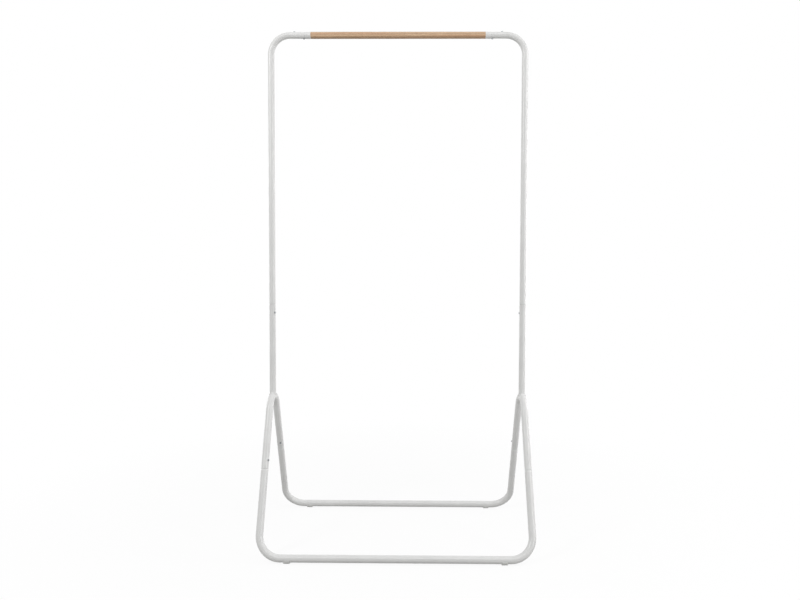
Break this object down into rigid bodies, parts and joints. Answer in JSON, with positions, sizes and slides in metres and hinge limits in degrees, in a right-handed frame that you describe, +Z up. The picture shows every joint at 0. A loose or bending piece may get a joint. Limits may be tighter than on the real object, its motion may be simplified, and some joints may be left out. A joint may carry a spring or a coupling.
{
  "type": "clothes rack",
  "caption": "Free-standing clothes rack: white bent steel tubes with snap-button joints, A-shaped side frames, floor bars on small feet and a round wooden hanging rail.",
  "frame": {"origin": "on the floor, midway between the posts and midway between the floor bars", "axes": "+X along the hanging rail, +Y towards the back, +Z up"},
  "size_m": [0.8244, 0.4836, 1.601],
  "materials": {
    "white_powder_coat": "smooth semi-gloss powder coat on steel tube",
    "beech": "lacquered satin",
    "zinc_steel": "zinc-plated",
    "spring_steel": "oiled strip",
    "nylon": "moulded, fine grain"
  },
  "bodies": {
    "rack": {"wood_rail": "beech", "left_rail_ferrule": "white_powder_coat", "right_rail_ferrule": "white_powder_coat", "rail_screws": "zinc_steel", "left_corner_tube": "white_powder_coat", "right_corner_tube": "white_powder_coat", "left_lower_post": "white_powder_coat", "right_lower_post": "white_powder_coat", "left_leg_arch": "white_powder_coat", "right_leg_arch": "white_powder_coat", "left_post_weld": "white_powder_coat", "right_post_weld": "white_powder_coat", "front_base_tube": "white_powder_coat", "rear_base_tube": "white_powder_coat", "front_left_foot": "nylon", "front_right_foot": "nylon", "rear_left_foot": "nylon", "rear_right_foot": "nylon", "left_rail_spring": "spring_steel", "right_rail_spring": "spring_steel", "left_post_spring": "spring_steel", "right_post_spring": "spring_steel", "front_left_leg_spring": "spring_steel", "rear_right_leg_spring": "spring_steel", "rear_left_leg_spring": "spring_steel", "front_right_leg_spring": "spring_steel"},
    "left_rail_button": {"left_rail_button": "zinc_steel"},
    "right_rail_button": {"right_rail_button": "zinc_steel"},
    "left_post_button": {"left_post_button": "zinc_steel"},
    "right_post_button": {"right_post_button": "zinc_steel"},
    "front_left_leg_button": {"front_left_leg_button": "zinc_steel"},
    "rear_right_leg_button": {"rear_right_leg_button": "zinc_steel"},
    "rear_left_leg_button": {"rear_left_leg_button": "zinc_steel"},
    "front_right_leg_button": {"front_right_leg_button": "zinc_steel"}
  },
  "joints": [
    {"name": "left_rail_button_press", "type": "slide", "parent": "rack", "child": "left_rail_button", "axis": [0, 0, -1], "range_m": [0, 0.00435], "stiffness_N_per_m": 2000, "springref_m": -0.002, "deforming": ["left_rail_spring"]},
    {"name": "right_rail_button_press", "type": "slide", "parent": "rack", "child": "right_rail_button", "axis": [0, 0, -1], "range_m": [0, 0.00435], "stiffness_N_per_m": 2000, "springref_m": -0.002, "deforming": ["right_rail_spring"]},
    {"name": "left_post_button_press", "type": "slide", "parent": "rack", "child": "left_post_button", "axis": [-0.8829, 0.4695, 0], "range_m": [0, 0.00435], "stiffness_N_per_m": 2000, "springref_m": -0.002, "deforming": ["left_post_spring"]},
    {"name": "right_post_button_press", "type": "slide", "parent": "rack", "child": "right_post_button", "axis": [0.8829, -0.4695, 0], "range_m": [0, 0.00435], "stiffness_N_per_m": 2000, "springref_m": -0.002, "deforming": ["right_post_spring"]},
    {"name": "front_left_leg_button_press", "type": "slide", "parent": "rack", "child": "front_left_leg_button", "axis": [-0.8829, 0.4289, -0.191], "range_m": [0, 0.00435], "stiffness_N_per_m": 2000, "springref_m": -0.002, "deforming": ["front_left_leg_spring"]},
    {"name": "rear_right_leg_button_press", "type": "slide", "parent": "rack", "child": "rear_right_leg_button", "axis": [0.8829, -0.4289, -0.191], "range_m": [0, 0.00435], "stiffness_N_per_m": 2000, "springref_m": -0.002, "deforming": ["rear_right_leg_spring"]},
    {"name": "rear_left_leg_button_press", "type": "slide", "parent": "rack", "child": "rear_left_leg_button", "axis": [-0.2588, 0.8824, 0.3929], "range_m": [0, 0.00435], "stiffness_N_per_m": 2000, "springref_m": -0.002, "deforming": ["rear_left_leg_spring"]},
    {"name": "front_right_leg_button_press", "type": "slide", "parent": "rack", "child": "front_right_leg_button", "axis": [0.2588, -0.8824, 0.3929], "range_m": [0, 0.00435], "stiffness_N_per_m": 2000, "springref_m": -0.002, "deforming": ["front_right_leg_spring"]}
  ]
}
